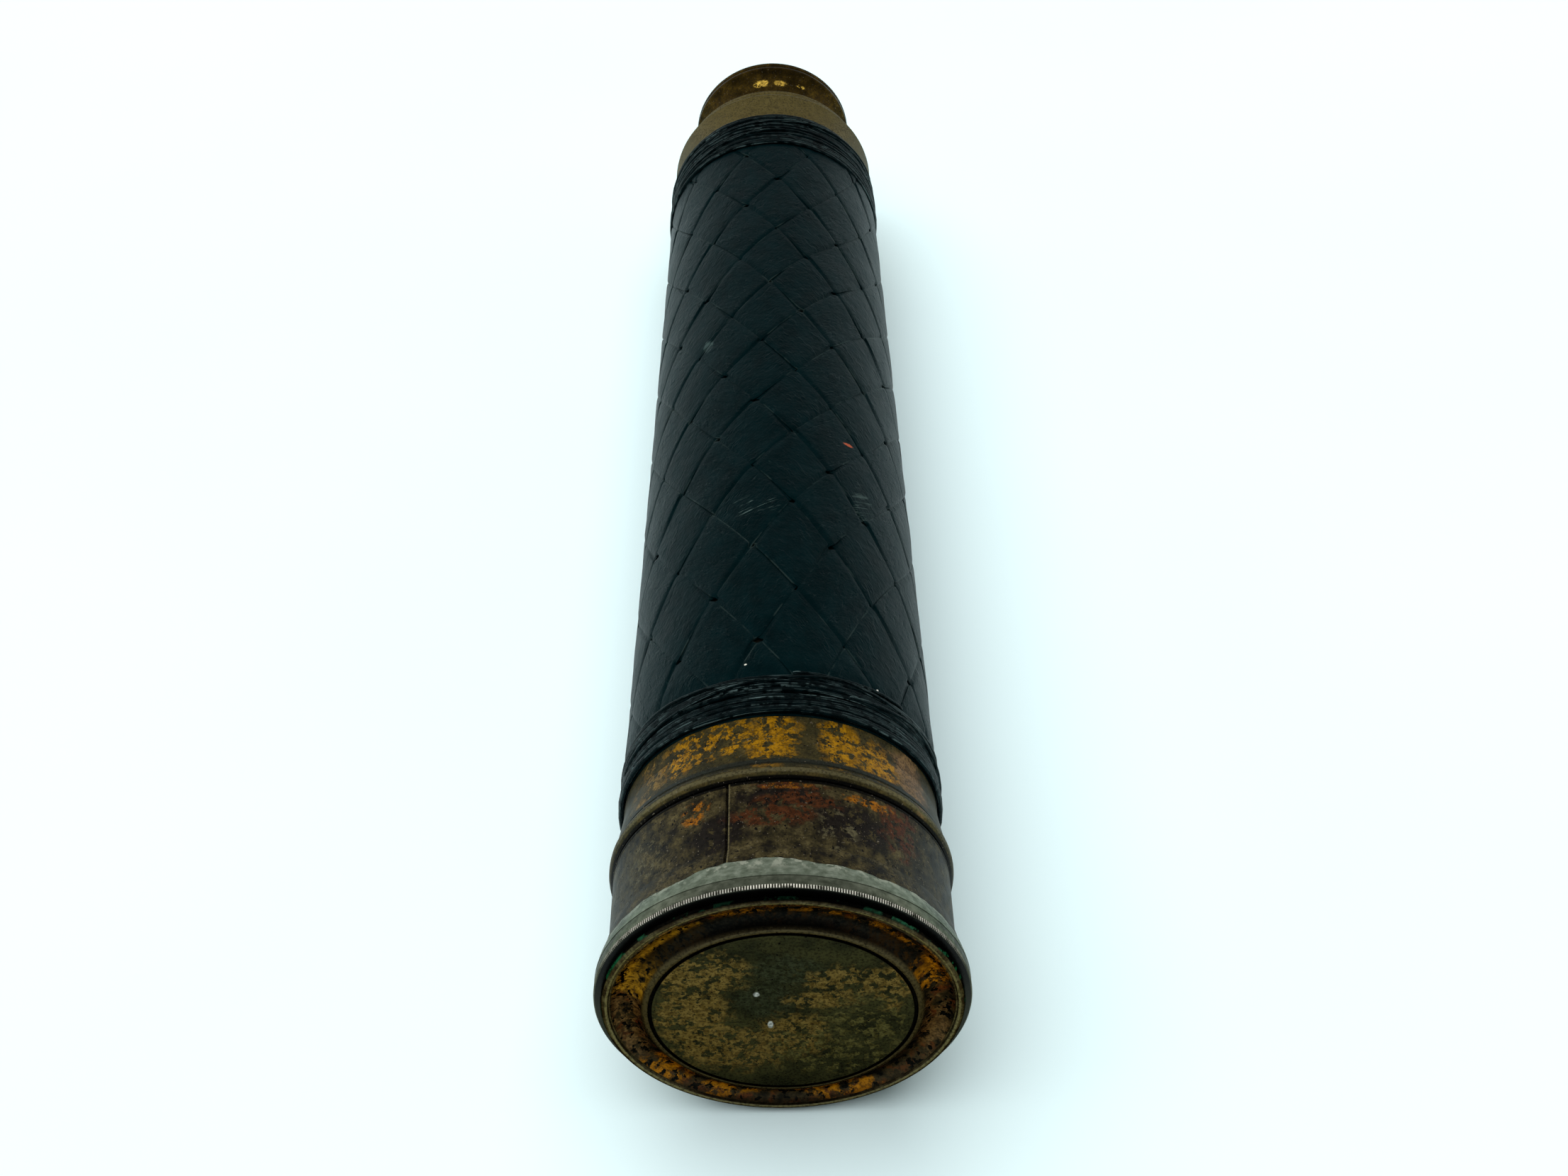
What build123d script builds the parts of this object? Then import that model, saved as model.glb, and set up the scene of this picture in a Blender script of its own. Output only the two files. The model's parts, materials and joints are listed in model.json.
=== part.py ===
from build123d import *
from math import copysign, sqrt
import os

# A three-draw brass hand telescope, closed, with its dust cap on.
# All sizes are in millimetres. The optical axis is +Y, from the dust cap's front
# face at Y = 0 towards the eye, and the telescope lies on its side with +Z up.
# Almost every piece is turned, so a shape is given as radii and stations on Y.

# ---------------------------------------------------------------- driving sizes
SHADE_BORE_R = 28.5          # bore of the sliding ray shade
SHADE_WALL = 0.9
SHADE_START = 2.0
SHADE_END = 25.6
RIM_R = 31.37                # milled flange on the shade's mouth
RIM_SHOULDER_R = 31.25       # its rear edge, where the solder starts
RIM_END = 4.8
SOLDER_END = 12.0
CAP_R = 30.15                # dust cap's front plate
CAP_BACK = 2.6
SPIGOT_BORE_R = 27.6         # hollow plug that grips the shade's bore
SPIGOT_END = 8.0
SLIDE_FIT = 0.08             # radial clearance of a sliding brass fit
DRAW_FIT = 0.05              # radial clearance of a draw in its slide bearing
PARTING = 0.3                # gap left between two pieces that butt when closed

FERRULE_START = 25.9         # front of the bead that the closed shade butts on
BEAD_EDGE_R = 29.7
BAND_R = 28.16               # band that the front whipping butts on
SLEEVE_START = 9.2
BARREL_START = 30.0          # front end of the tapered barrel tube
BARREL_END = 255.4
BARREL_WALL = 1.0
COVER_R_AT_110 = 27.68       # outer radius of the plaited cover at Y = 110
BARREL_TAPER = 0.0169        # loss of radius for each millimetre towards the eye
COVER_THICK = 1.05           # two crossed strips
PRESSED_THICK = 0.4          # strip ends squeezed under the whipping

FRONT_WHIP = (40.7, 50.2)    # stations of the cord whipping at the objective end
REAR_WHIP = (231.2, 245.4)   # stations of the cord whipping at the eye end
WHIP_BUILD = 1.3             # height of one layer of cord

DRAW_TRAVEL = 160.0          # sliding travel of each draw
DRAW_WALL = 0.8
STOP_LENGTH = 4.0            # stop ring on the front end of each draw
DRAW_R = (21.0, 18.6, 16.2)          # outer radii of the three draws
DRAW_START = (56.0, 64.0, 72.0)      # front ends of the three draws
DRAW_END = (260.6, 264.0, 267.0)     # rear ends of the three draws
STOP_R = (22.6, 19.8, 17.4)          # outer radii of their stop rings
COLLAR_R = (23.4, 20.4)              # outer radii of the first two draws' collars

FERRULE_END = 256.7          # rear face of the barrel's rear ferrule
FERRULE_R = 25.1
BEARING_R = 22.3             # body of the bush inside the barrel's rear end
BEARING_FLANGE = 3.0
BELL_START = DRAW_END[1] + PARTING
BELL_RIM_R = 20.2
BELL_END = 281.6
BELL_BASE_R = 18.9
BELL_WAIST_R = 16.5
BELL_WEB = 272.0             # wall that the eyepiece tube screws up against
CUP_EDGE_R = 18.4

EYE_TUBE_R = 14.7            # tube that carries the eye and field lenses
EYE_TUBE_BORE = 13.4
CELL_R = 27.5                # objective cell, and bore of its sleeve
OBJECTIVE_R = 25.5
OBJECTIVE_STATION = 13.3     # seat of the crown lens

WORDS = ("first", "second", "third")


# ---------------------------------------------------------------- shared shapes
def turned(*edges):
    """Solid of revolution about the axis, from edges drawn as (radius, station)."""
    return revolve(make_face(Curve() + list(edges)), Axis.Y)


def turned_corners(*corners):
    """Solid of revolution whose outline is straight between its corners."""
    return turned(Polyline(*corners, close=True))


def tube(inner, outer, start, end):
    """Plain tube or ring about the axis."""
    return turned_corners((inner, start), (outer, start), (outer, end), (inner, end))


def barrel_radius(station):
    """Outer radius of the tapered barrel tube at a station."""
    return COVER_R_AT_110 - COVER_THICK - BARREL_TAPER * (station - 110.0)


def lens_face(radius, edge, rise):
    """Half outline of one lens face; rise is the height of its middle over its edge."""
    if rise == 0:
        return Line((radius, edge), (0, edge))
    ball_r = (radius ** 2 + rise ** 2) / (2 * abs(rise))
    half = radius / 2
    drop = ball_r - sqrt(ball_r ** 2 - half ** 2)
    half_rise = copysign(abs(rise) - drop, rise)
    return ThreePointArc((radius, edge), (half, edge + half_rise), (0, edge + rise))


def lens(radius, start, end, front_bulge, back_bulge):
    """Round lens; each bulge is how far a face stands out past the lens's edge."""
    return turned(Line((radius, start), (radius, end)),
                  lens_face(radius, end, back_bulge),
                  Line((0, end + back_bulge), (0, start - front_bulge)),
                  lens_face(radius, start, -front_bulge))


# ---------------------------------------------------------------- dust cap
def cap_disc():
    """Front plate: flat disc, thin groove, fillet, deep cove and an outer land."""
    plug_r = SHADE_BORE_R - SLIDE_FIT
    outline = Polyline((23.3, 0.1), (22.9, 0.0), (22.3, 0.0), (22.3, 0.4), (21.7, 0.4), (21.7, 0.0), (0, 0),
                       (0, CAP_BACK), (plug_r, CAP_BACK), (plug_r, 1.7), (29.9, 1.7), (CAP_R, 1.4),
                       (CAP_R, 0.8), (29.8, 0.5), (28.9, 0.5), (28.9, 0.75), (28.5, 0.75))
    cove = ThreePointArc((28.5, 0.75), (25.6, 1.65), (23.3, 0.1))
    return turned(outline, cove)


def cap_spigot():
    return tube(SPIGOT_BORE_R, SHADE_BORE_R - SLIDE_FIT, CAP_BACK, SPIGOT_END)


# ---------------------------------------------------------------- ray shade
def ray_shade_tube():
    return tube(SHADE_BORE_R, SHADE_BORE_R + SHADE_WALL, SHADE_START, SHADE_END)


def shade_bezel():
    """Flange on the shade's mouth, with a milled edge for the fingers."""
    seat = SHADE_BORE_R + SHADE_WALL
    return turned_corners((seat, SHADE_START), (31.1, SHADE_START), (RIM_R, 2.3), (RIM_R, 4.4),
                          (RIM_SHOULDER_R, RIM_END), (seat, RIM_END))


def shade_solder_fillet():
    """Soft solder run into the corner between the flange and the shade tube."""
    seat = SHADE_BORE_R + SHADE_WALL
    corner = (RIM_SHOULDER_R, RIM_END)
    slope = ThreePointArc(corner, (30.65, 8.0), (seat, SOLDER_END))
    return turned(slope, Polyline((seat, SOLDER_END), (seat, RIM_END), corner))


# ---------------------------------------------------------------- objective
def objective_sleeve():
    """Fixed inner sleeve: the ray shade slides over it and the cell screws into it."""
    return tube(CELL_R, SHADE_BORE_R - SLIDE_FIT, SLEEVE_START, BARREL_START)


def objective_cell():
    """Threaded ring with a lip that keeps clear of the crown lens's curved face."""
    lip_r = 24.0
    front = 12.1
    back = 24.0
    lip_back = OBJECTIVE_STATION - 0.2
    return turned_corners((lip_r, front), (CELL_R, front), (CELL_R, back), (OBJECTIVE_R, back),
                          (OBJECTIVE_R, lip_back), (lip_r, lip_back))


def objective_glass():
    """Crown, spacer, flint and retaining ring, stacked from the cell's seat."""
    seat = OBJECTIVE_STATION
    crown_back = seat + 3.0
    curve_gap = 0.1
    flint_front = crown_back + 0.6
    flint_back = flint_front + 4.0
    return {
        "crown_lens": lens(OBJECTIVE_R, seat, crown_back, 1.2, 1.4),
        "lens_spacer_ring": tube(24.6, OBJECTIVE_R, crown_back + curve_gap, flint_front),
        "flint_lens": lens(OBJECTIVE_R, flint_front, flint_back, -1.3, 0),
        "objective_retaining_ring": tube(24.0, OBJECTIVE_R, flint_back, flint_back + 2.0),
    }


# ---------------------------------------------------------------- barrel
def front_ferrule():
    """Bead, cone and band that close the front of the barrel and hold the sleeve."""
    sleeve_seat = SHADE_BORE_R - SLIDE_FIT
    front = (BEAD_EDGE_R, FERRULE_START)
    cone_start = (BEAD_EDGE_R, 29.0)
    cone_end = (28.35, 36.4)
    bead = ThreePointArc(front, (30.15, 27.4), cone_start)
    cone = ThreePointArc(cone_start, (28.95, 32.4), cone_end)
    rest = Polyline(cone_end, (BAND_R, 38.0), (BAND_R, FRONT_WHIP[0]),
                    (barrel_radius(FRONT_WHIP[0]), FRONT_WHIP[0]), (barrel_radius(BARREL_START), BARREL_START),
                    (sleeve_seat, BARREL_START), (sleeve_seat, FERRULE_START), front)
    return turned(bead, cone, rest)


def barrel_tube():
    front = barrel_radius(BARREL_START)
    rear = barrel_radius(BARREL_END)
    return turned_corners((front - BARREL_WALL, BARREL_START), (front, BARREL_START),
                          (rear, BARREL_END), (rear - BARREL_WALL, BARREL_END))


def plaited_cover():
    """Plain tapered sleeve the size of the plaited strips, thinner under the cord."""
    levels = [(FRONT_WHIP[0], PRESSED_THICK), (FRONT_WHIP[1], PRESSED_THICK), (FRONT_WHIP[1], COVER_THICK),
              (REAR_WHIP[0], COVER_THICK), (REAR_WHIP[0], PRESSED_THICK), (REAR_WHIP[1], PRESSED_THICK)]
    outside = [(barrel_radius(station) + thick, station) for station, thick in levels]
    inside = [(barrel_radius(REAR_WHIP[1]), REAR_WHIP[1]), (barrel_radius(FRONT_WHIP[0]), FRONT_WHIP[0])]
    return turned_corners(*outside, *inside)


def whipping(start, end, shoulder):
    """Plain sleeve the size of the wound cord; its two end turns sit a little lower."""
    under = [barrel_radius(station) + PRESSED_THICK for station in (start, end)]
    return turned_corners((under[0], start), (under[0] + WHIP_BUILD / 2, start),
                          (under[0] + WHIP_BUILD, start + shoulder), (under[1] + WHIP_BUILD, end - shoulder),
                          (under[1] + WHIP_BUILD / 2, end), (under[1], end))


def rear_ferrule():
    """Smooth brass band over the cord's end, with a lip that guides the first draw."""
    lip_r = DRAW_R[0] + PARTING
    front = REAR_WHIP[1]
    return turned_corners((barrel_radius(front), front), (FERRULE_R, front), (FERRULE_R, 255.2),
                          (24.4, FERRULE_END), (lip_r, FERRULE_END), (lip_r, BARREL_END),
                          (barrel_radius(BARREL_END), BARREL_END))


def first_slide_bearing():
    """Bush that the first draw slides in, flanged at the rear against the ferrule."""
    front = bearing_front(0)
    bore = DRAW_R[0] + DRAW_FIT
    flange_r = barrel_radius(BARREL_END) - BARREL_WALL
    flange_start = BARREL_END - BEARING_FLANGE
    return turned_corners((bore, front), (BEARING_R, front), (BEARING_R, flange_start),
                          (flange_r, flange_start), (flange_r, BARREL_END), (bore, BARREL_END))


# ---------------------------------------------------------------- draws
def bearing_front(index):
    """Station where a draw's stop ring meets its bearing at full extension."""
    return DRAW_START[index] + STOP_LENGTH + DRAW_TRAVEL + PARTING


def draw_tube(index):
    return tube(DRAW_R[index] - DRAW_WALL, DRAW_R[index], DRAW_START[index], DRAW_END[index])


def stop_ring(index):
    start = DRAW_START[index]
    return tube(DRAW_R[index], STOP_R[index], start, start + STOP_LENGTH)


def collar(index, start):
    """Ring on a draw's rear end that butts on the tube before it, edges eased."""
    outer = COLLAR_R[index]
    end = DRAW_END[index]
    ease = 0.4
    return turned_corners((DRAW_R[index], start), (outer, start), (outer, end - ease),
                          (outer - ease, end), (DRAW_R[index], end))


def inner_bearing(index):
    """Bush inside the rear of one draw, which the next draw slides in."""
    holder = index - 1
    return tube(DRAW_R[index] + DRAW_FIT, DRAW_R[holder] - DRAW_WALL, bearing_front(index), DRAW_END[holder])


# ---------------------------------------------------------------- erector
def erector():
    """Cell in the front of the third draw with the two erecting lenses and a stop."""
    start = DRAW_START[2] + 2.0
    end = start + 66.0
    outer = DRAW_R[2] - DRAW_WALL
    bore = outer - 1.4
    seat = 1.5
    lip_r = 11.0
    stop = start + 32.0
    body = turned_corners((lip_r, start), (outer, start), (outer, end), (bore, end),
                          (bore, start + seat), (lip_r, start + seat))
    ring_start = end - 2.0
    return {
        "erector_cell": body,
        "front_erector_lens": lens(bore, start + seat, start + seat + 2.0, 0, 1.6),
        "erector_stop": tube(3.0, bore, stop, stop + 0.8),
        "rear_erector_lens": lens(bore, ring_start - 2.0, ring_start, 1.6, 0),
        "erector_retaining_ring": tube(lip_r, bore, ring_start, end),
    }


# ---------------------------------------------------------------- eyepiece
def eyepiece_optics():
    """Inner tube that screws into the bell, with its two lenses and their mounts."""
    start = 228.0
    end = BELL_WEB
    lip_r = 12.0
    eye_r = 8.0
    eye_seat = end - 4.6
    body = turned_corners((lip_r, start), (EYE_TUBE_R, start), (EYE_TUBE_R, end), (EYE_TUBE_BORE, end),
                          (EYE_TUBE_BORE, start + 1.2), (lip_r, start + 1.2))
    return {
        "eyepiece_tube": body,
        "field_lens": lens(EYE_TUBE_BORE, start + 1.2, start + 3.0, 0, 2.2),
        "field_stop": tube(8.5, EYE_TUBE_BORE, start + 18.0, start + 19.0),
        "eye_lens_ring": turned_corners((eye_r, eye_seat), (EYE_TUBE_BORE, eye_seat), (EYE_TUBE_BORE, end),
                                        (eye_r - 1.5, end), (eye_r - 1.5, end - 1.0), (eye_r, end - 1.0)),
        "eye_lens": lens(eye_r, eye_seat + 1.2, end - 1.0, 1.2, 0),
    }


def eyepiece_bell():
    """Flared eye end: base ring, hollow waist, beaded rim and a dished eye cup."""
    tube_seat = DRAW_R[2]
    base_end = (BELL_BASE_R, 266.6)
    waist = (BELL_WAIST_R, 270.6)
    rim_start = (19.7, 277.8)
    cup_floor = (6.2, 273.6)
    shoulder = ThreePointArc(base_end, (17.2, 267.8), waist)
    flare = ThreePointArc(waist, (17.2, 274.8), rim_start)
    rim = Polyline(rim_start, (BELL_RIM_R, 277.8), (BELL_RIM_R, 278.9), (19.9, 279.1), (19.9, 279.5),
                   (BELL_RIM_R, 279.7), (BELL_RIM_R, 280.9), (19.6, BELL_END), (CUP_EDGE_R, BELL_END))
    cup = ThreePointArc((CUP_EDGE_R, BELL_END), (13.2, 276.2), cup_floor)
    bore = Polyline(cup_floor, (5.5, BELL_WEB), (EYE_TUBE_R, BELL_WEB), (EYE_TUBE_R, DRAW_END[2]),
                    (tube_seat, DRAW_END[2]), (tube_seat, BELL_START), (BELL_BASE_R, BELL_START), base_end)
    return turned(shoulder, flare, rim, cup, bore)


# ---------------------------------------------------------------- assembly
def build_nodes():
    """All pieces of the telescope, by node name."""
    nodes = {
        "cap_disc": cap_disc(),
        "cap_spigot": cap_spigot(),
        "ray_shade_tube": ray_shade_tube(),
        "shade_bezel": shade_bezel(),
        "shade_solder_fillet": shade_solder_fillet(),
        "objective_sleeve": objective_sleeve(),
        "objective_cell": objective_cell(),
        "front_ferrule": front_ferrule(),
        "barrel_tube": barrel_tube(),
        "plaited_cover": plaited_cover(),
        "front_whipping": whipping(*FRONT_WHIP, shoulder=1.6),
        "rear_whipping": whipping(*REAR_WHIP, shoulder=0.6),
        "rear_ferrule": rear_ferrule(),
        "first_slide_bearing": first_slide_bearing(),
        "second_slide_bearing": inner_bearing(1),
        "third_slide_bearing": inner_bearing(2),
        "first_collar": collar(0, FERRULE_END + PARTING),
        "second_collar": collar(1, DRAW_END[0] + PARTING),
        "eyepiece_bell": eyepiece_bell(),
    }
    for index, word in enumerate(WORDS):
        nodes[word + "_draw_tube"] = draw_tube(index)
        nodes[word + "_stop_ring"] = stop_ring(index)
    nodes.update(objective_glass())
    nodes.update(erector())
    nodes.update(eyepiece_optics())
    return nodes


def main():
    os.makedirs("parts", exist_ok=True)
    for name, solid in build_nodes().items():
        export_step(solid, f"parts/{name}.step")


main()
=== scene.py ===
import json
import math
import random

import bmesh
import bpy
import numpy as np
from mathutils import Matrix, Vector


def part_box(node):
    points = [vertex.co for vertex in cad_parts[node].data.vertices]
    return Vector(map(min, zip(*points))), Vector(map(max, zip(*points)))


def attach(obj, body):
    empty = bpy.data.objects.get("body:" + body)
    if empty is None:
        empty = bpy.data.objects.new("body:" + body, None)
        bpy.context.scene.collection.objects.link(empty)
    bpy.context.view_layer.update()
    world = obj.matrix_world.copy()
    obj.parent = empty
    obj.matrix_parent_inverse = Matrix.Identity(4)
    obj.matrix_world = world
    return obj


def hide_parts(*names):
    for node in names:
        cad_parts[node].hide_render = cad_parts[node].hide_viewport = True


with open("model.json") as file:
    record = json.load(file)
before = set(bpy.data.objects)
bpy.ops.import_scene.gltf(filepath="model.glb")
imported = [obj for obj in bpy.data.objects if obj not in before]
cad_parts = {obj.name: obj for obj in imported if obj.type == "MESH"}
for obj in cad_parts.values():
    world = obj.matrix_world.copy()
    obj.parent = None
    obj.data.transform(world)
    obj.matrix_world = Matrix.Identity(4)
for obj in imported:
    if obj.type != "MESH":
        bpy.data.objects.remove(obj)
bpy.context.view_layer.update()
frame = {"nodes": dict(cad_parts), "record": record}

# A closed brass draw telescope lies on its side on a pale floor. Its optical axis is +Y, and every
# turned piece is drawn as (radius, station) in millimetres and scaled to metres when its mesh is made.
# A turn is an angle about the axis, in degrees from the top, positive towards +X.
MM = 0.001


def span(node):
    """Radius, first station and last station of a CAD node, in millimetres."""
    low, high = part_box(node)
    return high.x / MM, low.y / MM, high.y / MM


# ---- camera
CAMERA_PLACE = (0.75, -179.5, 268.9)
CAMERA_ANGLES = (43.726, 0.097, 0.732)  # degrees down, to the right and rolled
CAMERA_LENS = 43.94
CAMERA_SENSOR = 36


def make_camera():
    """Camera in front of and above the dust cap, looking down along the barrel."""
    pitch, yaw, roll = (math.radians(angle) for angle in CAMERA_ANGLES)
    level = math.cos(pitch)
    forward = Vector((math.sin(yaw) * level, math.cos(yaw) * level, -math.sin(pitch)))
    level_right = Vector((math.cos(yaw), -math.sin(yaw), 0))
    level_up = level_right.cross(forward)
    right = level_right * math.cos(roll) - level_up * math.sin(roll)
    up = level_up * math.cos(roll) + level_right * math.sin(roll)
    data = bpy.data.cameras.new("camera")
    data.sensor_width = CAMERA_SENSOR
    data.lens = CAMERA_LENS
    data.clip_start = 0.01
    data.clip_end = 20
    camera = bpy.data.objects.new("camera", data)
    turn = Matrix((right, up, -forward)).transposed().to_4x4()
    camera.matrix_world = Matrix.Translation(Vector(CAMERA_PLACE) * MM) @ turn
    bpy.context.scene.collection.objects.link(camera)
    bpy.context.scene.camera = camera


# ---- node helper
class Nodes:
    """Adds nodes to a tree; what a socket is given is a plain value or another node's output."""

    def __init__(self, tree, space):
        self.tree = tree
        self.place = self.node("ShaderNodeTexCoord").outputs[space]

    def node(self, kind, **inputs):
        made = self.tree.nodes.new(kind)
        for socket, value in inputs.items():
            self.put(made.inputs[socket.replace("_", " ")], value)
        return made

    def put(self, socket, value):
        if isinstance(value, bpy.types.NodeSocket):
            self.tree.links.new(value, socket)
        else:
            socket.default_value = value

    def calc(self, operation, first, second=0.0, third=0.0):
        made = self.tree.nodes.new("ShaderNodeMath")
        made.operation = operation
        for index, value in enumerate((first, second, third)):
            self.put(made.inputs[index], value)
        return made.outputs[0]

    def part(self, index, where=None):
        """One coordinate of a place, which is the tree's own unless given."""
        place = self.place if where is None else where
        return self.node("ShaderNodeSeparateXYZ", Vector=place).outputs[index]

    def ramp(self, value, *stops):
        """Colour ramp; each stop is a position and a linear colour."""
        made = self.node("ShaderNodeValToRGB", Fac=value)
        elements = made.color_ramp.elements
        while len(elements) < len(stops):
            elements.new(0.5)
        for element, (position, colour) in zip(elements, stops):
            element.position = position
            element.color = (*colour, 1)
        return made.outputs[0]


class Paint(Nodes):
    """Builds one procedural material. Sizes are given in millimetres."""

    def __init__(self, name, **values):
        self.material = bpy.data.materials.new(name)
        self.material.use_nodes = True
        self.material.node_tree.nodes.clear()
        super().__init__(self.material.node_tree, "Object")
        self.shader = self.node("ShaderNodeBsdfPrincipled", **values)
        self.node("ShaderNodeOutputMaterial", Surface=self.shader.outputs[0])

    def times(self, first, second):
        return self.calc("MULTIPLY", first, second)

    def vector(self, operation, first, second=(0, 0, 0)):
        made = self.tree.nodes.new("ShaderNodeVectorMath")
        made.operation = operation
        self.put(made.inputs[0], first)
        self.put(made.inputs[1], second)
        return made

    def layer(self, name):
        """Coordinates from a named layer of the mesh."""
        made = self.node("ShaderNodeUVMap")
        made.uv_map = name
        return made.outputs[0]

    def turn(self):
        """Angle about the axis, in radians from the top."""
        return self.calc("ARCTAN2", self.part(0), self.part(2))

    def radius(self):
        """Distance from the axis, in metres."""
        squares = [self.times(self.part(k), self.part(k)) for k in (0, 2)]
        return self.calc("SQRT", self.calc("ADD", *squares))

    def wrapped(self, radius):
        """Coordinates unrolled from the axis: arc length at a radius, station, radius."""
        along = self.times(self.turn(), radius * MM)
        made = self.node("ShaderNodeCombineXYZ", X=along, Y=self.part(1), Z=self.radius())
        return made.outputs[0]

    def step(self, value, low, high):
        """Smooth step of a value from 0 at low to 1 at high."""
        made = self.node("ShaderNodeMapRange", Value=value, From_Min=low, From_Max=high)
        made.interpolation_type = "SMOOTHSTEP"
        return made.outputs[0]

    def fade(self, length, low, high):
        """Smooth step of a length, its limits in millimetres."""
        return self.step(length, low * MM, high * MM)

    def between(self, length, start, full, last, end):
        """Mask that fades in from start to full and out from last to end."""
        return self.times(self.fade(length, start, full), self.fade(length, end, last))

    def line(self, length, middle, half, core):
        """Mask of a thin line: full within its core, nothing beyond its half width."""
        away = self.calc("ABSOLUTE", self.calc("SUBTRACT", length, middle * MM))
        return self.fade(away, half, core)

    def noise(self, size, detail=4.0, stretch=(1, 1, 1), where=None, shift=0.0, rough=0.55, lean=0.0):
        """Fractal noise; lean turns its stretched grain about the third axis, in degrees."""
        place = self.place if where is None else where
        leant = self.node("ShaderNodeVectorRotate", Vector=place, Angle=-math.radians(lean)).outputs[0]
        scale = tuple(1 / (size * MM * share) for share in stretch)
        moved = self.node("ShaderNodeMapping", Vector=leant, Location=(shift, shift, shift), Scale=scale)
        made = self.node("ShaderNodeTexNoise", Vector=moved.outputs[0], Scale=1.0, Detail=detail,
                         Roughness=rough)
        return made.outputs["Fac"]

    def mix(self, share, first, second):
        made = self.tree.nodes.new("ShaderNodeMix")
        made.data_type = "RGBA"
        self.put(made.inputs[0], share)
        for socket, value in ((made.inputs[6], first), (made.inputs[7], second)):
            self.put(socket, value if isinstance(value, bpy.types.NodeSocket) else (*value, 1))
        return made.outputs[2]

    def spot(self, where, centre, size, edge, ragged, grain=2.0):
        """Mask of a blot about a centre, its outline broken up by noise."""
        moved = self.vector("SUBTRACT", where, tuple(c * MM for c in centre)).outputs[0]
        scaled = self.vector("MULTIPLY", moved, tuple(1 / (s * MM) for s in size)).outputs[0]
        away = self.vector("LENGTH", scaled).outputs["Value"]
        broken = self.calc("MULTIPLY_ADD", self.noise(grain, 5.0, where=where), ragged, away)
        return self.step(broken, 1 + ragged / 2 + edge, 1 + ragged / 2 - edge)

    def most(self, *masks):
        found = masks[0]
        for mask in masks[1:]:
            found = self.calc("MAXIMUM", found, mask)
        return found

    def relief(self, height, depth):
        """Bump of a height map, its depth in millimetres."""
        made = self.node("ShaderNodeBump", Height=height, Strength=1.0, Distance=depth * MM)
        self.put(self.shader.inputs["Normal"], made.outputs[0])

    def colour(self, value):
        self.put(self.shader.inputs["Base Color"], value)

    def gloss(self, mask, low, high):
        """Roughness that runs from low to high with a mask."""
        made = self.node("ShaderNodeMapRange", Value=mask, To_Min=low, To_Max=high)
        self.put(self.shader.inputs["Roughness"], made.outputs[0])


# ---- colours, all linear
OLIVE = (0.044, 0.040, 0.019)
DARK_OLIVE = (0.021, 0.021, 0.013)
SMUDGE = (0.033, 0.034, 0.020)
GOLD = (0.34, 0.165, 0.005)
# painted glints of light on the eyepiece bell
PAINTED_GLINT_GOLD = (0.95, 0.62, 0.10)
OLD_GOLD = (0.20, 0.125, 0.030)
FACE_GOLD = (0.130, 0.084, 0.029)
FAINT_GOLD = (0.080, 0.066, 0.027)
COVE_GOLD = (0.25, 0.118, 0.016)
COVE_ROSE = (0.100, 0.055, 0.023)
FILLET_BROWN = (0.062, 0.046, 0.022)
LAND_BRASS = (0.095, 0.075, 0.036)
# painted highlight along a ring line on the cap's land
PAINTED_HIGHLIGHT_LINE = (0.15, 0.12, 0.055)
# painted shade on the cap's side in the gap at the flange, away from the top
GAP_SHADE_OLIVE = (0.034, 0.032, 0.020)
ORANGE = (0.29, 0.105, 0.008)
RUST = (0.080, 0.027, 0.010)
UMBER = (0.038, 0.026, 0.013)
SOOT = (0.012, 0.010, 0.007)
BLACK = (0.004, 0.004, 0.0035)
ROSE = (0.21, 0.125, 0.055)
VERDIGRIS = (0.02, 0.09, 0.045)
PALE = (0.42, 0.40, 0.36)
SPECK = (0.17, 0.145, 0.105)
WIPED_TIN = (0.30, 0.32, 0.25)
# painted glints on the milled rim's crests
PAINTED_GLINT_TIN = (0.98, 0.95, 0.82)
# painted shade on the milled rim's front face at the sides
RIM_SHADE_OLIVE = (0.030, 0.030, 0.020)
EDGE_TINT = (0.12, 0.12, 0.09, 1)  # tarnish keeps glancing reflections dull
HIDE_TINT = (0.1, 0.92, 1.0, 1)
CORD_TINT = (0.2, 0.95, 1.0, 1)

RIM_TEETH = 440  # milled notches round the ray shade's mouth
SHADE_SEAM = -17.0  # turn of the ray shade's lengthwise seam
FLAKE_TONES = (0.62, 1.22)  # darkest and lightest share of a flake's colour
BLOT_REACH = 9  # half size of a blot through the wall

# Blots on the cap: the middle and the half sizes, along x, y and z in millimetres.
FACE_BLOTS = [
    ((-14, 0, 11.5), (8, 6, 6)), ((-15, 0, -1), (6, 6, 9)), ((-8, 0, -10), (10, 6, 6)),
    ((2, 0, -6), (6, 6, 6)), ((6.5, 0, 4), (6, 6, 2.6)), ((11, 0, 9), (7, 6, 4)), ((18, 0, 7), (3, 6, 6)),
]
FAINT_BLOTS = [((8, 0, -11), (11, 6, 7)), ((14, 0, -2), (8, 6, 7))]
SMUDGE_BLOTS = [((-2.5, 0, 4), (5, 6, 4.5)), ((1, 0, 12), (6, 6, 4))]
NICKS = [((-4.3, 0, 5.7), (0.5, 4, 0.6)), ((-2.1, 0, -3.0), (0.45, 4, 0.95))]
COVE_BRIGHT_BLOTS = [((-19, 0, 18), (9, 6, 6)), ((-24, 0, 9), (5, 6, 5))]
COVE_WARM_BLOTS = [
    ((0, 0, 26.6), (15, 6, 2.5)), ((17, 0, 20), (9, 6, 6)), ((24, 0, 10), (4, 6, 5)),
    ((9, 0, -24), (9, 6, 3)), ((-9, 0, -24.5), (9, 6, 2)), ((-19, 0, -17), (5, 6, 5)),
]
COVE_ROSY_BLOTS = [((-26, 0, -4), (4, 6, 10)), ((25, 0, -6), (3, 6, 8))]
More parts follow.
